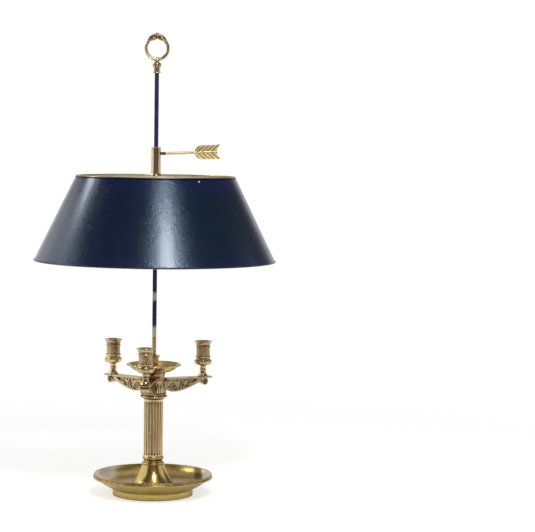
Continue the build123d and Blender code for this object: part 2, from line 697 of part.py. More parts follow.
def spider_disc():
    low = SLEEVE_LOW_Z - SPIDER_DISC_THICKNESS
    return rod(SPIDER_DISC_RADIUS, low, SLEEVE_LOW_Z) - rod(SLEEVE_SPIGOT_RADIUS + 0.05, low, SLEEVE_LOW_Z)


def spider_nut():
    high = SLEEVE_LOW_Z - SPIDER_DISC_THICKNESS
    low = high - SPIDER_NUT_THICKNESS
    return hexagon(SPIDER_NUT_ACROSS_FLATS, low, high) - rod(SLEEVE_SPIGOT_RADIUS + 0.05, low, high)


def shade_slope():
    """Radius lost per millimetre of height."""
    return (SHADE_LOW_RADIUS - SHADE_HIGH_RADIUS) / (SHADE_HIGH_Z - SHADE_LOW_Z)


def shade_radius(z):
    """The shell's middle radius at a height."""
    return SHADE_LOW_RADIUS - (z - SHADE_LOW_Z) * shade_slope()


def rivet_place(piece):
    """Moves a piece built outwards along +X to the rivets' place, square to the shell, in the first arm's plane."""
    z = SHADE_HIGH_Z - RIVET_DROP
    lean = atan_degrees(shade_slope())
    return Pos(shade_radius(z), 0, z) * (Rot(0, -lean, 0) * piece)


def atan_degrees(slope):
    return Vector(1, 0, 0).get_angle(Vector(1, 0, slope))


def spider_arm():
    """Flat strip along +X from under the disc, falling a little to the shell and bent down into a riveted tab."""
    disc_low = SLEEVE_LOW_Z - SPIDER_DISC_THICKNESS
    bend_z = disc_low - SPIDER_ARM_DROP
    thick = SPIDER_ARM_THICKNESS
    lean = radians(atan_degrees(shade_slope()))
    inside = SHADE_THICKNESS / 2 / cos(lean) + 0.12
    start = SPIDER_NUT_ACROSS_FLATS / sqrt(3) + 0.4
    tab_low = bend_z - SPIDER_TAB_LENGTH * cos(lean)
    bend_x, tab_x = shade_radius(bend_z) - inside, shade_radius(tab_low) - inside
    back = thick / cos(lean)
    section = outline(
        (start, disc_low - thick),
        (SPIDER_DISC_RADIUS, disc_low - thick),
        (bend_x + thick * tan(lean) - back, bend_z - thick),
        (tab_x - back, tab_low),
        (tab_x, tab_low),
        (bend_x, bend_z),
        (SPIDER_DISC_RADIUS + 0.5, disc_low),
        (start, disc_low),
    )
    strip = extrude(Plane.XZ * section, SPIDER_ARM_WIDTH / 2, both=True)
    return strip - rivet_place(Rot(0, 90, 0) * Cylinder(RIVET_RADIUS + RIVET_FIT, 8))


def shell_section():
    """The shell's straight sloping section, stopped against the round wires at both edges."""
    half = SHADE_THICKNESS / 2 / cos(radians(atan_degrees(shade_slope())))
    low, high = SHADE_LOW_Z, SHADE_HIGH_Z
    strip = outline(
        (SHADE_LOW_RADIUS - half, low),
        (SHADE_LOW_RADIUS + half, low),
        (SHADE_HIGH_RADIUS + half, high),
        (SHADE_HIGH_RADIUS - half, high),
    )
    low_wire = Pos(SHADE_LOW_RADIUS, low) * Circle(LOW_RIM_WIRE_RADIUS)
    high_wire = Pos(SHADE_HIGH_RADIUS, high) * Circle(HIGH_RIM_WIRE_RADIUS)
    return strip - low_wire - high_wire


def shade_shell():
    """Conical sheet-metal shell, pierced for the three rivets."""
    shell = revolve(Plane.XZ * shell_section(), Axis.Z)
    hole = rivet_place(Rot(0, 90, 0) * Cylinder(RIVET_RADIUS + RIVET_FIT, 8))
    return shell - around(hole, SPIDER_ARM_ANGLES)


def rim(radius, z, wire_radius):
    """Round rolled edge of the shade."""
    return revolve(Plane.XZ * (Pos(radius, z) * Circle(wire_radius)), Axis.Z)


def shade_rivet():
    """Round-head rivet through the shell and a spider tab, closed by a small head inside."""
    outside = SHADE_THICKNESS / 2 + 0.03
    tail = -(SHADE_THICKNESS / 2 + 0.2 + SPIDER_ARM_THICKNESS + 0.8)
    rivet = turned(
        (0, tail),
        (RIVET_RADIUS + 0.4, tail),
        (RIVET_RADIUS + 0.6, tail + 0.7),
        (RIVET_RADIUS, tail + 0.7),
        (RIVET_RADIUS, outside),
        (RIVET_HEAD_RADIUS, outside),
        dome(RIVET_HEAD_RADIUS, outside, outside + RIVET_HEAD_HEIGHT),
    )
    return rivet_place(Rot(0, 90, 0) * rivet)


# ---------------------------------------------------------------- arrow screw
def arrow_screw():
    """Clamp screw along +X: threaded end, plain ferrule, tapering shaft that ends in the arrow's nock."""
    tip = ROD_SIDE / 2 + ARROW_TIP_GAP
    ferrule = SLEEVE_RADIUS + 0.5
    shaft = ferrule + ARROW_FERRULE_LENGTH
    end = VANE_START + VANE_LENGTH - 1.0
    section = outline(
        (tip, 0),
        (tip + 0.4, ARROW_THREAD_RADIUS - 0.4),
        (tip + 0.8, ARROW_THREAD_RADIUS),
        (ferrule, ARROW_THREAD_RADIUS),
        (ferrule, ARROW_FERRULE_RADIUS),
        (shaft, ARROW_FERRULE_RADIUS),
        (shaft + 0.6, ARROW_SHAFT_START_RADIUS),
        (VANE_START - 1.0, ARROW_SHAFT_END_RADIUS),
        (end, ARROW_SHAFT_END_RADIUS),
        dome_side(ARROW_SHAFT_END_RADIUS, end, end + 1.2),
    )
    return arrow_place(revolve(Plane.XY * section, Axis.X))


def vane_outline():
    """Upper feather: a rounded shoulder, a saw-toothed outer edge and a swept tail."""
    high = VANE_HALF_HEIGHT
    end = VANE_START + VANE_LENGTH
    shoulder = VANE_START + 9.5
    tooth = (end - 2.0 - shoulder) / BARB_COUNT
    teeth = []
    for n in range(BARB_COUNT):
        start = shoulder + n * tooth
        teeth += [(start + tooth, high + 0.45), (start + tooth, high - 0.45)]
    teeth[-1] = (end + VANE_TAIL_SWEEP, high + 0.6)
    return outline(
        (VANE_START, 0),
        ((VANE_START + 2.2, high * 0.62), (shoulder, high - 0.3)),
        *teeth,
        (end - 1.0, high * 0.42),
        (end - 1.6, 0),
    )


def vane():
    """One upright feather of the arrow, ridged into slanting barbs on both faces, fitted round the shaft."""
    plate = extrude(Plane.XZ * vane_outline(), VANE_HALF_THICKNESS, both=True)
    pitch = VANE_LENGTH / (BARB_COUNT + 1)
    half = BARB_GROOVE_FILL * pitch * sin(radians(BARB_ANGLE)) / 2
    depth = BARB_GROOVE_DEPTH
    section = Polygon((half, 0), (0, depth), (-half, 0), (0, -depth), align=None)
    groove = Rot(0, 90, 0) * extrude(section, 2 * VANE_HALF_HEIGHT)
    for n in range(BARB_COUNT + 2):
        start = VANE_START + (n - 0.4) * pitch
        for y in (-VANE_HALF_THICKNESS, VANE_HALF_THICKNESS):
            plate -= Pos(start, y, ARROW_SHAFT_END_RADIUS + 0.4) * (Rot(0, -BARB_ANGLE, 0) * groove)
    tail_end = VANE_START + VANE_LENGTH
    return plate - Pos(tail_end, 0, 0) * (Rot(0, 90, 0) * Cylinder(ARROW_SHAFT_END_RADIUS, 2 * VANE_LENGTH + 2.0))


def arrow_vanes():
    upper = vane()
    return [arrow_place(upper), arrow_place(Rot(180, 0, 0) * upper)]


# ---------------------------------------------------------------- assembly
def main():
    os.makedirs("parts", exist_ok=True)
    save("base_tray", base_tray())
    save("tie_rod", tie_rod())
    save("tie_rod_washer", tie_rod_washer())
    save("tie_rod_nut", tie_rod_nut())
    save("column_bell", column_bell())
    save("column_collar", column_collar())
    save("column_shaft", column_shaft())
    save("column_neck", column_neck())
    save("arm_hub", arm_hub())
    save("arm_screws", *around(arm_screw(), ARM_DIRECTIONS.values()))
    bracket = arm()
    nozzle = Pos(NOZZLE_DISTANCE, 0, 0) * candle_nozzle()
    for name, direction in ARM_DIRECTIONS.items():
        save(f"arm_{name}", Rot(0, 0, direction) * bracket)
        save(f"candle_nozzle_{name}", Rot(0, 0, direction) * nozzle)
    save("dish_stem", dish_stem())
    save("drip_dish", drip_dish())
    save("rod_socket", rod_socket())
    save("rod_end", rod_end())
    save("shade_rod", shade_rod())
    save("finial_cup", finial_cup())
    save("finial_ring", finial_ring())
    save("slide_sleeve", slide_sleeve())
    save("spider_disc", spider_disc())
    save("spider_nut", spider_nut())
    save("spider_arms", *around(spider_arm(), SPIDER_ARM_ANGLES))
    save("shade_shell", shade_shell())
    save("shade_top_rim", rim(SHADE_HIGH_RADIUS, SHADE_HIGH_Z, HIGH_RIM_WIRE_RADIUS))
    save("shade_bottom_rim", rim(SHADE_LOW_RADIUS, SHADE_LOW_Z, LOW_RIM_WIRE_RADIUS))
    save("shade_rivets", *around(shade_rivet(), SPIDER_ARM_ANGLES))
    save("arrow_screw", arrow_screw())
    save("arrow_vanes", *arrow_vanes())


main()
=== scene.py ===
"""Looks, light and camera for the three-candle bouillotte lamp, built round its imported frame.

Metres, +Z up, -Y is the front. Every finish is procedural and reads the object's own coordinates.
A soft edge is a pair of values: a finish changes smoothly from the first to the second.
"""

import json
from functools import reduce
from math import cos, pi, radians, sin, tan

import bpy
from mathutils import Euler, Matrix, Vector


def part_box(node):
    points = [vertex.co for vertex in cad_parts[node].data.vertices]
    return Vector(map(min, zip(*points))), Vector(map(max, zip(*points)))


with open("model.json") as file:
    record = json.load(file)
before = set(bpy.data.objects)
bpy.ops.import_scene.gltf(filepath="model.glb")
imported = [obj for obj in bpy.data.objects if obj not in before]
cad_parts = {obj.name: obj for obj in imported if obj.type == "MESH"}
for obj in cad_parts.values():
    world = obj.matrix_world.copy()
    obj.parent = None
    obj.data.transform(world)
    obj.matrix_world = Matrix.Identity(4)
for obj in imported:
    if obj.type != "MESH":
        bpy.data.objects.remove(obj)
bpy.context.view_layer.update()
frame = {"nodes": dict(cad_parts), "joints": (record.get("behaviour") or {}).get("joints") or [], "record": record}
NODES = frame["nodes"]


# ---------------------------------------------------------------- places on the lamp, from the frame
def lowest(node):
    """Lowest corner of a CAD node's box."""
    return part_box(node)[0]


def highest(node):
    """Highest corner of a CAD node's box."""
    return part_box(node)[1]


def middle_height(node):
    """Height halfway up a CAD node's box."""
    return (lowest(node).z + highest(node).z) / 2


def edge(place, start, end):
    """A soft edge that starts and ends at these distances from a place on the lamp."""
    return place + start, place + end


# The tray: distances from the axis and heights first, then X and Y of the painted reflections and painted shade on
# its wall.
TRAY_RADIUS = highest("base_tray").x
TRAY_FLOOR = lowest("column_bell").z
TRAY_FLOOR_END = edge(TRAY_RADIUS, -0.0344, -0.0294)
TRAY_FLOOR_FACE = edge(TRAY_FLOOR, -0.0020, -0.0005)
TRAY_WALL_END = edge(TRAY_RADIUS, -0.0059, -0.0044)
TRAY_WALL_FACE = edge(TRAY_FLOOR, -0.0010, 0.0005)
TRAY_LIP_START = edge(TRAY_RADIUS, -0.0049, -0.0029)
TRAY_LIP_FACE = edge(highest("base_tray").z, -0.0077, -0.0052)
LEFT_REFLECTION_END = edge(-TRAY_RADIUS, 0.0304, 0.0454)
RIGHT_REFLECTION_START = edge(TRAY_RADIUS, -0.0189, -0.0139)
PAINTED_SHADE_PATCH_START = edge(TRAY_RADIUS, -0.0344, -0.0274)
PAINTED_SHADE_PATCH_END = edge(TRAY_RADIUS, -0.0204, -0.0154)
PAINTED_SHADE_STRETCH_START = (0.0100, 0.0350)
PAINTED_SHADE_STRETCH_END = edge(TRAY_RADIUS, -0.0324, -0.0274)
TRAY_BACK_HALF = (-0.0100, 0.0150)

# The column, the hub with its arms, and the stem under the drip dish.
FLUTE_BOTTOM = edge(highest("column_shaft").x, -0.0011, -0.0001)
FLUTE_LOW_END = edge(lowest("column_shaft").z, 0.0016, 0.0056)
FLUTE_HIGH_END = edge(highest("column_shaft").z, -0.0061, -0.0021)
HUB_TOP = highest("arm_hub").z
HUB_TOP_EDGE = edge(HUB_TOP, -0.0065, -0.0020)
ARM_ROOT_END = edge(highest("arm_hub").x, -0.0028, 0.0052)
ARM_ROOT_FACE = edge(HUB_TOP, -0.0100, -0.0050)
STEM_LIGHTER_SIDE = edge(highest("dish_stem").x, -0.0110, -0.0070)

# The nozzles' engraved band, the bands rubbed through on the rod, and the ring's serpent heads.
NOZZLE_TOP = highest("candle_nozzle_front").z
ENGRAVING_START = edge(NOZZLE_TOP, -0.0273, -0.0253)
ENGRAVING_END = edge(NOZZLE_TOP, -0.0073, -0.0053)
ROD_START = highest("rod_end").z
ROD_FOOT_END = edge(ROD_START, 0.0134, 0.0214)
ROD_BAND_START = edge(ROD_START, 0.0594, 0.0634)
ROD_BAND_END = edge(ROD_START, 0.0734, 0.0774)
RING_HEADS = edge(highest("finial_ring").z, -0.0140, -0.0090)
RING_RIGHT_SIDE = (0.0060, 0.0110)

# The shade: heights first, then X across it, the distance of its flanks, and how far a rim looks outward.
SHADE_LOW = middle_height("shade_bottom_rim")
SHADE_HIGH = middle_height("shade_top_rim")
SHADE_LOW_BORDER = edge(SHADE_LOW, 0.0036, 0.0256)
SHADE_HIGH_BORDER = edge(SHADE_HIGH, -0.0342, -0.0122)
RIM_SHADOW_EDGE = edge(SHADE_HIGH, -0.0032, -0.0020)
SHADE_SHEEN_SPAN = (SHADE_LOW + 0.0056, SHADE_HIGH - 0.0042)
SHADE_TEAL_SIDE = (-0.0600, 0.0600)
SHADE_FLANKS = (0.0700, 0.1050)
RIM_INSIDE = (-0.0600, -0.0200)

# The arrow-shaped screw: barbs are counted along its own tilted axis.
SCREW = next(joint for joint in frame["joints"] if joint["name"] == "arrow_screw_turn")
ARROW_Z = SCREW["pos_m"][2]
ARROW_TILT = SCREW["axis"][2] / SCREW["axis"][0]
FERRULE_END = edge(highest("slide_sleeve").x, 0.00545, 0.00695)
BARB_START = lowest("arrow_vanes").x - 0.00427
BARB_PITCH = 0.0038
BARB_ANGLE = 40.0
BARB_GROOVE = (0.12, 0.20)

# ---------------------------------------------------------------- other soft edges, as shares of 1
LOOKING_UP = (0.3, 0.8)
MOST_NOISE = (0.3, 0.7)
PATINA_SHADE = (0.45, 0.92)
MOUTH_OCCLUSION = (0.60, 0.88)

# ---------------------------------------------------------------- bumps and reaches, metres
SKIN_DEPTH = 0.00012
GRAIN_DEPTH = 0.0002
PEBBLE_DEPTH = 0.0005
RIPPLE_DEPTH = 0.0006
ENGRAVING_DEPTH = 0.0008
MOUTH_REACH = 0.02

# ---------------------------------------------------------------- photograph's camera
IMAGE_WIDTH = 535
SENSOR_WIDTH = 36.0
FOCAL_PIXELS = 1943.0
CAMERA_DISTANCE = 3.245
CAMERA_HEIGHT = 0.607
CAMERA_PITCH = 3.880
CAMERA_YAW = 3.322
CAMERA_ROLL = 0.8
CAMERA_REACH = 60

# ---------------------------------------------------------------- light and surroundings
LIGHT_TARGET = (0, 0, 0.40)
FLOOR_REACH = 14.0
FLOOR_WHITE = 0.64
FLOOR_GLOW = 0.61
FLOOR_FAR = (0.60, 1.40)
FLOOR_UNDER_LAMP = (0.08, 0.17)
FLOOR_FRONT = (-0.90, -0.30)
FLOOR_FAR_FRONT = (-2.20, -1.20)
CARDS = {
    "left_card": ((-1.00, -0.60, 0.00), (-1.00, 1.30, 0.95), 1.10),
    "right_card": ((1.10, -0.60, 0.00), (1.10, 0.40, 0.85), 0.85),
    "strip": ((-1.22, 0.32, 1.10), (-1.12, 0.57, 1.55), 15.0),
}

# ---------------------------------------------------------------- the room that brass mirrors, by direction
ROOM_LIGHT = 0.50
BACKDROP_START = (0.80, 0.93)
BACKDROP_TOP = (0.25, 0.55)
SKIRTING_START = (-0.60, -0.30)
SKIRTING_TOP = (0.08, 0.22)
SKIRTING_LIGHT = 0.90
LOFT_START = (0.15, 0.45)
LOFT_FOOT = (0.50, 0.66)
LOFT_LIGHT = 0.47
WALL_SPAN = (0.15, 0.45)
LOW_WALL_LIGHT = 0.16
HIGH_WALL_LIGHT = 0.11
CEILING_FOOT = (0.86, 0.96)
CEILING_LIGHT = 1.10

# ---------------------------------------------------------------- colours, linear
WHITE = (1, 1, 1, 1)
BLACK = (0, 0, 0, 1)
ROOM_PINK = (1.000, 0.780, 0.920, 1)
BRASS_LIGHT = (0.740, 0.580, 0.205, 1)
BRASS_DEEP = (0.600, 0.445, 0.145, 1)
PALE_LIGHT = (0.660, 0.550, 0.320, 1)
PALE_DEEP = (0.500, 0.390, 0.220, 1)
OLD_LIGHT = (0.560, 0.430, 0.180, 1)
OLD_DEEP = (0.430, 0.315, 0.120, 1)
VANE_LIGHT = (1.000, 0.880, 0.500, 1)
VANE_DEEP = (0.960, 0.800, 0.400, 1)
WARM_LIGHT = (0.680, 0.550, 0.270, 1)
WARM_DEEP = (0.370, 0.250, 0.150, 1)
BRONZE_LIGHT = (0.660, 0.520, 0.290, 1)
BRONZE_DEEP = (0.460, 0.330, 0.180, 1)
FLUTE_LIGHT = (0.860, 0.700, 0.370, 1)
FLUTE_DEEP = (0.700, 0.540, 0.260, 1)
GILT_LIGHT = (0.620, 0.500, 0.270, 1)
GILT_DEEP = (0.420, 0.310, 0.140, 1)
PAINTED_REFLECTION_PALE = (0.980, 0.910, 0.720, 1)
WORN_BRASS = (1.000, 0.920, 0.700, 1)
BRASS_PATINA = (0.075, 0.042, 0.022, 1)
PAINTED_SHADE_BROWN = (0.310, 0.145, 0.075, 1)
CUP_BROWN = (0.290, 0.185, 0.105, 1)
FLUTE_PATINA_AND_SHADE = (0.210, 0.130, 0.078, 1)
TARNISH_AND_SHADE = (0.260, 0.165, 0.085, 1)
PAINTED_SHADE_OLIVE = (0.070, 0.048, 0.012, 1)
MOUTH_DARK = (0.030, 0.022, 0.016, 1)
INDIGO = (0.016, 0.010, 0.075, 1)
INDIGO_LIGHT = (0.034, 0.022, 0.110, 1)
NAVY = (0.0020, 0.0088, 0.0335, 1)
NAVY_BRIGHT = (0.0030, 0.0120, 0.0560, 1)
NAVY_TEAL = (0.0020, 0.0118, 0.0300, 1)
NAVY_FLECK = (0.0200, 0.0500, 0.1100, 1)
RIM_SHADOW_BLACK = (0.0020, 0.0030, 0.0060, 1)
SHEEN_BLUE = (0.680, 0.840, 1.000, 1)
CREAM = (0.840, 0.780, 0.650, 1)
CREAM_AGED = (0.690, 0.610, 0.460, 1)
RIVET_GREY = (0.800, 0.800, 0.830, 1)
STEEL_GREY = (0.450, 0.440, 0.430, 1)


# ---------------------------------------------------------------- node helpers
class Nodes:
    """A node tree, with one short call for each node."""

    def __init__(self, tree):
        self.tree = tree

    def add(self, kind, values=None, **settings):
        """A new node. Settings are its own options, and values go into its sockets."""
        node = self.tree.nodes.new(kind)
        for key, value in settings.items():
            setattr(node, key, value)
        for key, value in (values or {}).items():
            self.put(node.inputs[key], value)
        return node

    def put(self, socket, value):
        """Links another node's output to a socket, or writes a constant there."""
        if isinstance(value, bpy.types.NodeSocket):
            self.tree.links.new(value, socket)
        else:
            socket.default_value = value

    def split(self, vector):
        return self.add("ShaderNodeSeparateXYZ", {"Vector": vector}).outputs

    def length(self, vector):
        return self.add("ShaderNodeVectorMath", {"Vector": vector}, operation="LENGTH").outputs["Value"]

    def math(self, operation, a, b=0.0):
        return self.add("ShaderNodeMath", {0: a, 1: b}, operation=operation).outputs["Value"]

    def product(self, *factors):
        return reduce(lambda a, b: self.math("MULTIPLY", a, b), factors)

    def largest(self, *values):
        return reduce(lambda a, b: self.math("MAXIMUM", a, b), values)

    def ramp(self, value, ends, start=0.0, end=1.0, smooth=True):
        """Start below the soft edge's first value, and end above its second."""
        low, high = ends
        values = {"Value": value, "From Min": low, "From Max": high, "To Min": start, "To Max": end}
        shape = "SMOOTHSTEP" if smooth else "LINEAR"
        return self.add("ShaderNodeMapRange", values, interpolation_type=shape).outputs["Result"]

    def fade(self, value, ends, full=1.0):
        """Full below the soft edge, and 0 above it."""
        return self.ramp(value, ends, full, 0.0)


class Surface(Nodes):
    """A material. A stain or painted light may lower its metallic value, or give it a relief to engrave."""

    def __init__(self, name):
        self.material = bpy.data.materials.new(name)
        self.material.use_nodes = True
        super().__init__(self.material.node_tree)
        self.shader = self.tree.nodes["Principled BSDF"]
        self.coords = self.add("ShaderNodeTexCoord").outputs["Object"]
        self.metallic = 1.0
        self.relief = None

    def set(self, **values):
        """Principled inputs, by name with _ for a space."""
        for key, value in values.items():
            self.put(self.shader.inputs[key.replace("_", " ")], value)

    def mix(self, amount, a, b):
        node = self.add("ShaderNodeMix", {"Factor": amount, "A": a, "B": b}, data_type="RGBA")
        return node.outputs["Result"]

    def noise(self, scale, detail=3, rough=0.5, distort=0.0, along=1.0):
        """Noise from 0 to 1. With along below 1, its marks run up and down the lamp."""
        where = self.coords
        if along != 1.0:
            mapping = self.add("ShaderNodeMapping", {"Vector": where, "Scale": (1, 1, along)})
            where = mapping.outputs["Vector"]
        shape = {"Scale": scale, "Detail": detail, "Roughness": rough, "Distortion": distort}
        return self.add("ShaderNodeTexNoise", {"Vector": where, **shape}).outputs["Fac"]

    def mottle(self, scale, spread, least=0.0, most=1.0, **grain):
        """Noise, with the values of spread stretched to least and most."""
        return self.ramp(self.noise(scale, **grain), spread, least, most)

    def wander(self, scale, width, **grain):
        """Noise round 0, to make an edge ragged."""
        return self.product(self.math("SUBTRACT", self.noise(scale, **grain), 0.5), width)

    def axis(self, letter):
        """The object's own X, Y or Z coordinate, in metres."""
        return self.split(self.coords)[letter]

    def radius(self):
        """Distance from the lamp's axis, in metres."""
        flat = self.add("ShaderNodeVectorMath", {0: self.coords, 1: (1, 1, 0)}, operation="MULTIPLY")
        return self.length(flat.outputs["Vector"])

    def facing(self):
        """The surface's normal, split in X, Y and Z."""
        return self.split(self.add("ShaderNodeTexCoord").outputs["Normal"])

    def rise(self):
        """1 on faces that look up, and -1 on faces that look down."""
        return self.facing()["Z"]

    def outward(self):
        """Above 0 on faces that look away from the lamp's axis, and below 0 on faces that look at it."""
        facing = self.facing()
        sideways = self.product(self.axis("X"), facing["X"])
        return self.math("ADD", sideways, self.product(self.axis("Y"), facing["Y"]))

    def recess(self, distance, ends):
        """1 in recesses that something closes within that distance, 0 on open faces."""
        shelter = self.add("ShaderNodeAmbientOcclusion", {"Distance": distance}, samples=8)
        return self.fade(shelter.outputs["AO"], ends)

    def bump(self, height, strength, distance, under=None):
        node = self.add("ShaderNodeBump", {"Height": height, "Strength": strength, "Distance": distance})
        if under:
            self.put(node.inputs["Normal"], under)
        return node.outputs["Normal"]

    def grain(self, scale, strength, under=None, **grain):
        """A fine bump all over the surface."""
        self.set(Normal=self.bump(self.noise(scale, **grain), strength, GRAIN_DEPTH, under))

    def uneven_roughness(self, scale, least, most):
        self.set(Roughness=self.mottle(scale, MOST_NOISE, least, most))


# ---------------------------------------------------------------- brass, its stains and its painted shade
def brass(name, light, deep, patina, roughness, grain=0.02, reach=0.004, wear=0.05, stain_and_shade=None):
    """Cast or turned brass: cloudy tone, patina in the recesses, fine wear marks, and its own stains, painted
    shade and painted reflections.
    """
    s = Surface(name)
    tone = s.mix(s.mottle(22, (0.35, 0.70), detail=4, rough=0.6, distort=0.6), light, deep)
    spots = s.mottle(160, (0.52, 0.72), detail=5, rough=0.65)
    tone = s.mix(s.product(spots, 0.30 * patina + 0.10), tone, BRASS_PATINA)
    sheltered = s.product(s.recess(reach, PATINA_SHADE), patina)
    tone = s.mix(sheltered, tone, BRASS_PATINA)
    if stain_and_shade:
        tone = stain_and_shade(s, tone)
    marks = s.mottle(420, MOST_NOISE, roughness - wear, roughness + wear, rough=0.6, along=0.15)
    rough = s.math("ADD", marks, s.product(sheltered, 0.25))
    s.set(Base_Color=tone, Metallic=s.metallic, Roughness=rough)
    ripple = s.bump(s.noise(60, detail=2, rough=0.4), 0.05, RIPPLE_DEPTH)
    if s.relief:
        ripple = s.bump(s.relief, 0.8, ENGRAVING_DEPTH, ripple)
    s.set(Normal=s.bump(s.noise(900, detail=4, rough=0.6), grain, SKIN_DEPTH, ripple))
    return s.material


def tray_tarnish_and_shade(s, tone):
    """Tarnish on the tray's floor and lip. Pale bands on its wall are painted reflections, and a dark patch and a
    dimmer stretch at the back right are painted shade.
    """
    radius, x, z = s.radius(), s.axis("X"), s.axis("Z")
    wall = s.product(s.fade(radius, TRAY_WALL_END), s.ramp(z, TRAY_WALL_FACE))
    # Pale painted reflections on the wall's left and right, where the metal is also made less metallic.
    wear_and_reflection = s.product(wall, s.largest(s.fade(x, LEFT_REFLECTION_END), s.ramp(x, RIGHT_REFLECTION_START)))
    tone = s.mix(s.product(wear_and_reflection, 0.75), tone, PAINTED_REFLECTION_PALE)
    s.metallic = s.math("SUBTRACT", 1.0, s.product(wear_and_reflection, 0.45))
    # Painted shade on the back right of the wall: a dark patch, and a fainter dimmer stretch beside it.
    patch = s.product(s.ramp(x, PAINTED_SHADE_PATCH_START), s.fade(x, PAINTED_SHADE_PATCH_END, full=0.85))
    painted_dimming = s.product(s.ramp(x, PAINTED_SHADE_STRETCH_START), s.fade(x, PAINTED_SHADE_STRETCH_END, full=0.30))
    mirrored = s.product(s.largest(patch, painted_dimming), s.ramp(s.axis("Y"), TRAY_BACK_HALF))
    tone = s.mix(s.product(wall, mirrored), tone, PAINTED_SHADE_OLIVE)
    floor = s.product(s.fade(radius, TRAY_FLOOR_END), s.ramp(z, TRAY_FLOOR_FACE))
    floor = s.product(floor, s.mottle(30, (0.25, 0.75), 0.45, 0.85, detail=4, rough=0.6))
    lip = s.product(s.ramp(radius, TRAY_LIP_START), s.ramp(z, TRAY_LIP_FACE))
    lip = s.product(lip, s.mottle(90, MOST_NOISE, 0.35, 0.85, detail=4, rough=0.6))
    return s.mix(s.largest(floor, lip), tone, TARNISH_AND_SHADE)


def flute_patina_and_shade(s, tone):
    """Brown deep in the column's flutes, streaked along them, and darkest at their round ends: patina, with
    painted shade in the flutes.
    """
    z = s.axis("Z")
    depth = s.fade(s.radius(), FLUTE_BOTTOM)
    streak = s.mottle(300, MOST_NOISE, 0.60, 1.0, rough=0.6, along=0.06)
    ends = s.largest(s.fade(z, FLUTE_LOW_END), s.ramp(z, FLUTE_HIGH_END))
    tone = s.mix(s.product(depth, streak), tone, FLUTE_PATINA_AND_SHADE)
    return s.mix(s.product(depth, ends, 0.8), tone, BRASS_PATINA)


def cup_stain(s, tone):
    """Mottled brown in the engraved band round the nozzle's cup, and darker inside its mouth, most where it is
    closed in.
    """
    z = s.axis("Z")
    band = s.product(s.ramp(z, ENGRAVING_START), s.fade(z, ENGRAVING_END))
    engraving = s.noise(420, rough=0.7, distort=1.2)
    s.relief = s.product(band, engraving)
    tone = s.mix(s.product(band, s.ramp(engraving, (0.38, 0.60), 0.05, 0.75)), tone, CUP_BROWN)
    mouth = s.product(s.recess(MOUTH_REACH, MOUTH_OCCLUSION), s.ramp(z, ENGRAVING_END))
    return s.mix(mouth, tone, MOUTH_DARK)


def stem_painted_shade(s, tone):
    """Painted shade and painted dark reflection, red-brown, on the stem, weaker towards its right side."""
    side = s.ramp(s.axis("X"), STEM_LIGHTER_SIDE, 1.0, 0.65)
    cloud = s.mottle(70, (0.30, 0.65), 0.55, 1.0, detail=4, rough=0.6)
    return s.mix(s.product(side, cloud), tone, PAINTED_SHADE_BROWN)


def barb_painted_shade(s, tone):
    """Painted shade, olive, in every other slanting groove between the feather's barbs."""
    x = s.axis("X")
    above = s.math("SUBTRACT", s.axis("Z"), ARROW_Z)
    along = s.math("ADD", x, s.product(above, ARROW_TILT))
    height = s.math("ABSOLUTE", s.math("SUBTRACT", above, s.product(x, ARROW_TILT)))
    slant = s.product(height, 1 / tan(radians(BARB_ANGLE)))
    barb = s.math("SUBTRACT", along, s.math("ADD", slant, BARB_START))
    every_other = s.math("PINGPONG", s.math("DIVIDE", barb, 2 * BARB_PITCH), 0.5)
    return s.mix(s.fade(every_other, BARB_GROOVE, full=0.72), tone, PAINTED_SHADE_OLIVE)


def hub_painted_shade(s, tone):
    """Painted shade, red-brown, on the faces that look up and round the hub's top edge."""
    top = s.ramp(s.axis("Z"), HUB_TOP_EDGE, end=0.70)
    return s.mix(s.largest(top, s.ramp(s.rise(), LOOKING_UP, end=0.75)), tone, PAINTED_SHADE_BROWN)


def arm_painted_shade(s, tone):
    """Painted shade, red-brown, at the arm's root and, thinner, along its top."""
    root = s.product(s.fade(s.radius(), ARM_ROOT_END, full=0.85), s.ramp(s.axis("Z"), ARM_ROOT_FACE))
    return s.mix(s.largest(root, s.ramp(s.rise(), LOOKING_UP, end=0.30)), tone, PAINTED_SHADE_BROWN)


def ring_tarnish_and_shade(s, tone):
    """Brown over the serpents' heads at the ring's top, and painted shade a little down its right side."""
    heads = s.ramp(s.axis("Z"), RING_HEADS, end=0.85)
    right = s.ramp(s.axis("X"), RING_RIGHT_SIDE, end=0.50)
    return s.mix(s.largest(heads, right), tone, TARNISH_AND_SHADE)


def ferrule_stain(s, tone):
    """Dark brown on the arrow's ferrule, next to the sleeve."""
    return s.mix(s.fade(s.radius(), FERRULE_END, full=0.9), tone, BRASS_PATINA)


# ---------------------------------------------------------------- paint, lacquer, rims painted lit and shaded, and steel
def rod_lacquer():
    """Near-black indigo lacquer over brass, rubbed through in bands low on the rod and nicked above."""
    s = Surface("rod_lacquer")
    z = s.math("ADD", s.axis("Z"), s.wander(240, 0.012, detail=4, rough=0.6))
    foot = s.fade(z, ROD_FOOT_END)
    band = s.product(s.ramp(z, ROD_BAND_START), s.fade(z, ROD_BAND_END), 0.72)
    nicks = s.mottle(300, (0.72, 0.76), detail=2, along=0.35)
    wear_and_reflection = s.largest(foot, band, s.product(nicks, 0.4))
    lacquer = s.mix(s.noise(90, detail=4, rough=0.6), INDIGO, INDIGO_LIGHT)
    s.set(Base_Color=s.mix(wear_and_reflection, lacquer, WORN_BRASS), Metallic=s.product(wear_and_reflection, 0.45))
    s.uneven_roughness(150, 0.30, 0.42)
    s.grain(500, 0.12)
    return s.material


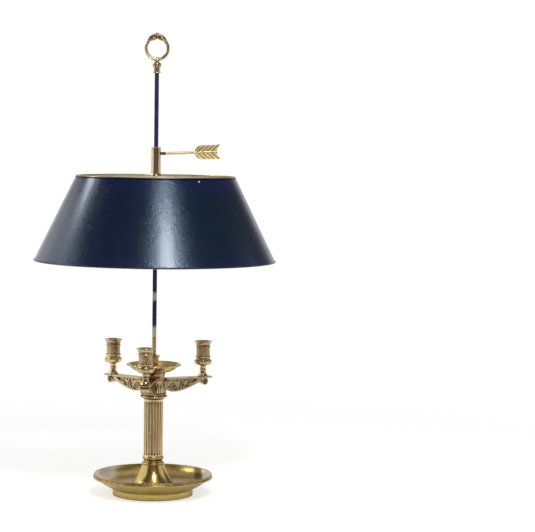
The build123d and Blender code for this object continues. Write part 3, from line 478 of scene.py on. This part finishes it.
def navy_paint(s, painted_rim_shadow):
    """Dark blue with a teal cast on the right, brighter borders, fine flecks, and a black painted shadow under the
    top rim.
    """
    x, z = s.axis("X"), s.axis("Z")
    across = s.math("ADD", x, s.wander(7, 0.30))
    blue = s.mix(s.ramp(across, SHADE_TEAL_SIDE), NAVY, NAVY_TEAL)
    borders = s.largest(s.ramp(z, SHADE_HIGH_BORDER), s.fade(z, SHADE_LOW_BORDER))
    blue = s.mix(s.product(borders, 0.7), blue, NAVY_BRIGHT)
    blue = s.mix(s.product(s.mottle(700, (0.45, 0.70), rough=0.6), 0.12), blue, NAVY_FLECK)
    return s.mix(painted_rim_shadow, blue, RIM_SHADOW_BLACK)


def shade_paint():
    """Pebbled dark blue paint outside the cone, smooth cream paint inside it."""
    s = Surface("shade_paint")
    x, z = s.axis("X"), s.axis("Z")
    outside = s.math("GREATER_THAN", s.outward(), 0.0)
    # Painted shadow: a thin black line just under the top rim, where the paint's shine is also turned off.
    painted_rim_shadow = s.ramp(z, RIM_SHADOW_EDGE)
    cream = s.mix(s.mottle(16, (0.35, 0.70), detail=4, rough=0.6), CREAM, CREAM_AGED)
    s.set(Base_Color=s.mix(outside, cream, navy_paint(s, painted_rim_shadow)))
    s.set(Roughness=s.math("ADD", s.product(outside, -0.12), s.mottle(40, MOST_NOISE, 0.37, 0.41)))
    sheen = s.ramp(z, SHADE_SHEEN_SPAN, 0.80, 0.54, smooth=False)
    s.set(Specular_IOR_Level=s.product(s.math("SUBTRACT", 1.0, painted_rim_shadow), sheen))
    s.set(Specular_Tint=SHEEN_BLUE, Coat_Weight=0.16, Coat_Roughness=0.14, Coat_Tint=SHEEN_BLUE)
    relief = s.ramp(s.math("ABSOLUTE", x), SHADE_FLANKS, 0.70, 0.12)
    pebbles = s.bump(s.noise(450, detail=1), relief, PEBBLE_DEPTH)
    s.grain(1300, 0.10, pebbles, detail=2)
    return s.material


def rim_lit_and_shaded(name, ends, inside=0.0):
    """A rolled rim, gold where its rise lies between two values and inside it, navy elsewhere: the gold by rise is
    painted reflection, the navy painted shade.
    """
    s = Surface(name)
    # Gold as painted reflection on faces by their rise and inside the rim; navy as painted shade on the rest.
    painted_lit_side = s.ramp(s.math("ADD", s.rise(), s.wander(200, 0.4, detail=4, rough=0.6)), ends)
    painted_lit_side = s.largest(painted_lit_side, s.fade(s.outward(), RIM_INSIDE, full=inside))
    tone = s.mix(s.noise(60, detail=4, rough=0.6), GILT_LIGHT, GILT_DEEP)
    s.set(Base_Color=s.mix(painted_lit_side, NAVY, tone), Metallic=painted_lit_side)
    s.uneven_roughness(300, 0.26, 0.40)
    s.grain(500, 0.10)
    return s.material


def cream_paint():
    """Aged cream paint on the spider's disc and arms."""
    s = Surface("spider_paint")
    s.set(Base_Color=s.mix(s.noise(60, detail=4, rough=0.6), CREAM, CREAM_AGED))
    s.uneven_roughness(90, 0.42, 0.55)
    s.grain(600, 0.15)
    return s.material


def steel(name, tone, roughness):
    """Bare steel with fine marks that run up and down the lamp."""
    s = Surface(name)
    darker = tuple(0.6 * channel for channel in tone[:3]) + (1,)
    s.set(Base_Color=s.mix(s.noise(180, detail=4, rough=0.6), tone, darker), Metallic=1.0)
    s.uneven_roughness(240, roughness, roughness + 0.12)
    s.grain(700, 0.15, rough=0.6, along=0.2)
    return s.material


# ---------------------------------------------------------------- what each piece wears
def cast_brass(name, patina, reach, stain_and_shade=None):
    """Bronze-toned brass with a coarse cast skin."""
    return brass(name, BRONZE_LIGHT, BRONZE_DEEP, patina, 0.33, grain=0.20, reach=reach, stain_and_shade=stain_and_shade)


FINISHES = {
    "aged_brass": cast_brass("aged_brass", 0.95, 0.006),
    "rod_lacquer": rod_lacquer(),
    "shade_paint": shade_paint(),
    "rim_gilt": rim_lit_and_shaded("top_rim_lit_and_shaded", (0.15, 0.45), inside=1.0),
    "spider_steel": cream_paint(),
    "rivet_steel": steel("rivet_steel", RIVET_GREY, 0.18),
    "steel": steel("steel", STEEL_GREY, 0.30),
}

ARM_BRASS = cast_brass("arm_brass", 0.95, 0.006, arm_painted_shade)
NOZZLE_BRASS = brass("nozzle_brass", WARM_LIGHT, WARM_DEEP, 0.90, 0.24, stain_and_shade=cup_stain)
OWN_FINISHES = {
    "base_tray": brass(
        "tray_brass", BRASS_LIGHT, BRASS_DEEP, 0.40, 0.33, reach=0.003, wear=0.03, stain_and_shade=tray_tarnish_and_shade
    ),
    "column_bell": brass("bell_brass", BRASS_DEEP, BRASS_DEEP, 0.50, 0.24),
    "column_collar": brass("collar_brass", OLD_LIGHT, OLD_DEEP, 0.90, 0.30),
    "column_neck": brass("neck_brass", FLUTE_LIGHT, FLUTE_DEEP, 0.60, 0.28),
    "column_shaft": brass(
        "column_brass", FLUTE_LIGHT, FLUTE_DEEP, 0.30, 0.28, reach=0.0015, stain_and_shade=flute_patina_and_shade
    ),
    "arm_hub": cast_brass("hub_brass", 0.80, 0.005, hub_painted_shade),
    "arm_front": ARM_BRASS,
    "arm_right": ARM_BRASS,
    "arm_left": ARM_BRASS,
    "candle_nozzle_front": NOZZLE_BRASS,
    "candle_nozzle_right": NOZZLE_BRASS,
    "candle_nozzle_left": NOZZLE_BRASS,
    "dish_stem": brass("stem_brass", BRONZE_LIGHT, BRONZE_DEEP, 0.80, 0.26, stain_and_shade=stem_painted_shade),
    "drip_dish": brass("dish_brass", BRASS_LIGHT, PALE_DEEP, 0.40, 0.28),
    "slide_sleeve": brass("sleeve_brass", PALE_LIGHT, PALE_DEEP, 0.60, 0.16),
    "arrow_screw": brass(
        "arrow_brass", PALE_LIGHT, PALE_LIGHT, 0.10, 0.38, grain=0.0, wear=0.01, stain_and_shade=ferrule_stain
    ),
    "arrow_vanes": brass("vane_brass", VANE_LIGHT, VANE_DEEP, 0.10, 0.50, reach=0.0012, stain_and_shade=barb_painted_shade),
    "finial_ring": brass("ring_brass", PALE_LIGHT, PALE_DEEP, 0.90, 0.31, stain_and_shade=ring_tarnish_and_shade),
    "finial_cup": brass("finial_brass", PALE_LIGHT, PALE_DEEP, 0.80, 0.32),
    "shade_bottom_rim": rim_lit_and_shaded("bottom_rim_lit_and_shaded", (-0.45, -0.75)),
}


def dress(node, slot):
    """Gives a CAD node its own finish, or that of its material slot."""
    mesh = NODES[node].data
    mesh.materials.clear()
    mesh.materials.append(OWN_FINISHES[node] if node in OWN_FINISHES else FINISHES[slot])


for part in frame["record"]["subparts"]:
    dress(part["node"], part["material_slot"])

for polygon in NODES["arrow_vanes"].data.polygons:
    polygon.use_smooth = False


# ---------------------------------------------------------------- studio
def link_object(name, data):
    """A new object with this data, in the scene."""
    new = bpy.data.objects.new(name, data)
    bpy.context.collection.objects.link(new)
    return new


def four_sided_board(name, corners, material):
    """A staged rectangle that isn't part of the lamp."""
    mesh = bpy.data.meshes.new(name)
    mesh.from_pydata(corners, [], [(0, 1, 2, 3)])
    mesh.materials.append(material)
    board = link_object(name, mesh)
    return board


def area_light(name, azimuth, elevation, distance, side, radiance):
    """A square soft box aimed at the shade. Azimuth 0 is the front, and 90 the lamp's right."""
    a, e = radians(azimuth), radians(elevation)
    away = Vector((sin(a) * cos(e), -cos(a) * cos(e), sin(e)))
    light = bpy.data.lights.new(name, "AREA")
    light.shape = "RECTANGLE"
    light.size, light.size_y = side, side
    light.energy = radiance * pi * side * side
    lamp = link_object(name, light)
    lamp.location = Vector(LIGHT_TARGET) + away * distance
    lamp.rotation_euler = away.to_track_quat("Z", "Y").to_euler()
    return lamp


def card(name, low, high, strength):
    """An upright white card between two corners, which only mirror-like surfaces see."""
    s = Surface(name)
    glossy = s.add("ShaderNodeLightPath").outputs["Is Glossy Ray"]
    s.set(Base_Color=BLACK, Specular_IOR_Level=0.0, Emission_Color=WHITE)
    s.set(Emission_Strength=s.product(glossy, strength))
    (x0, y0, z0), (x1, y1, z1) = low, high
    corners = [(x0, y0, z0), (x1, y1, z0), (x1, y1, z1), (x0, y0, z1)]
    board = four_sided_board(name, corners, s.material)
    board.visible_camera = board.visible_diffuse = board.visible_transmission = board.visible_shadow = False


def studio_floor():
    """White table top that runs out of sight, lit to white and still holding the lamp's shadow."""
    s = Surface("floor")
    path = s.add("ShaderNodeLightPath").outputs
    away = s.length(s.coords)
    white = (FLOOR_WHITE, FLOOR_WHITE, FLOOR_WHITE, 1)
    s.set(Base_Color=s.mix(s.ramp(away, FLOOR_FAR), white, BLACK), Roughness=0.7, Specular_IOR_Level=0.0)
    back = s.axis("Y")
    front = s.product(s.ramp(back, FLOOR_FRONT, start=0.60), s.ramp(back, FLOOR_FAR_FRONT, start=0.25))
    # Painted shadow in reflections: glossy rays see the floor darker close round the lamp's foot.
    near = s.ramp(away, FLOOR_UNDER_LAMP, start=0.32)
    mirrored = s.largest(path["Is Glossy Ray"], path["Is Transmission Ray"])
    seen = s.math("ADD", path["Is Camera Ray"], s.product(mirrored, front, near))
    glow = s.ramp(away, FLOOR_FAR, start=FLOOR_GLOW)
    s.set(Emission_Color=WHITE, Emission_Strength=s.product(seen, glow))
    signs = ((-1, -1), (1, -1), (1, 1), (-1, 1))
    corners = [(x * FLOOR_REACH, y * FLOOR_REACH, 0) for x, y in signs]
    four_sided_board("floor", corners, s.material)


class Sky(Nodes):
    """The world's node tree. Its brightness follows the direction that a ray leaves in."""

    def __init__(self):
        world = bpy.data.worlds.new("studio")
        bpy.context.scene.world = world
        world.use_nodes = True
        super().__init__(world.node_tree)
        self.tree.nodes.clear()
        self.direction = self.split(self.add("ShaderNodeTexCoord").outputs["Generated"])

    def light(self, color, strength):
        node = self.add("ShaderNodeBackground", {"Color": color, "Strength": strength})
        return node.outputs["Background"]

    def finish(self, a, b):
        """Ends the tree with the sum of two lights."""
        both = self.add("ShaderNodeAddShader", {0: a, 1: b}).outputs["Shader"]
        self.add("ShaderNodeOutputWorld", {"Surface": both})


def studio_world():
    """White to the camera. Glossy surfaces see the white backdrop behind and a dim room in front."""
    sky = Sky()
    path = sky.add("ShaderNodeLightPath").outputs
    mirrored = sky.largest(path["Is Glossy Ray"], path["Is Transmission Ray"])
    back, up = sky.direction["Y"], sky.direction["Z"]
    backdrop = sky.product(sky.ramp(back, BACKDROP_START), sky.fade(up, BACKDROP_TOP))
    skirting = sky.product(sky.ramp(back, SKIRTING_START), sky.fade(up, SKIRTING_TOP, SKIRTING_LIGHT))
    loft = sky.product(sky.ramp(back, LOFT_START), sky.ramp(up, LOFT_FOOT, end=LOFT_LIGHT))
    white = sky.largest(backdrop, skirting, loft)
    walls = sky.ramp(up, WALL_SPAN, LOW_WALL_LIGHT, HIGH_WALL_LIGHT)
    ceiling = sky.ramp(up, CEILING_FOOT, end=CEILING_LIGHT)
    room = sky.product(sky.math("SUBTRACT", 1.0, white), sky.math("ADD", walls, ceiling))
    other = sky.math("SUBTRACT", 1.0, sky.largest(mirrored, path["Is Camera Ray"]))
    plain = sky.math("ADD", sky.product(mirrored, white), path["Is Camera Ray"])
    plain = sky.math("ADD", plain, sky.product(other, ROOM_LIGHT))
    sky.finish(sky.light(WHITE, plain), sky.light(ROOM_PINK, sky.product(mirrored, room)))


def photo_camera():
    """Camera at the photograph's distance, height and angle, with the lamp left of the frame's middle."""
    data = bpy.data.cameras.new("camera")
    data.sensor_width = SENSOR_WIDTH
    data.lens = SENSOR_WIDTH * FOCAL_PIXELS / IMAGE_WIDTH
    data.clip_end = CAMERA_REACH
    camera = link_object("camera", data)
    camera.location = (0, -CAMERA_DISTANCE, CAMERA_HEIGHT)
    level = Euler((radians(90 - CAMERA_PITCH), 0, radians(-CAMERA_YAW))).to_matrix().to_4x4()
    turn = level @ Matrix.Rotation(radians(CAMERA_ROLL), 4, "Z")
    camera.rotation_euler = turn.to_euler()
    bpy.context.scene.camera = camera


studio_floor()
studio_world()
area_light("key", azimuth=12.8, elevation=40, distance=1.3, side=0.23, radiance=40.0)
side_light = area_light("side", azimuth=-95, elevation=40, distance=2.2, side=0.8, radiance=1.6)
side_light.visible_glossy = False
for name, (low_corner, high_corner, strength) in CARDS.items():
    card(name, low_corner, high_corner, strength)
photo_camera()

scene = bpy.context.scene
scene.view_settings.view_transform = "Standard"
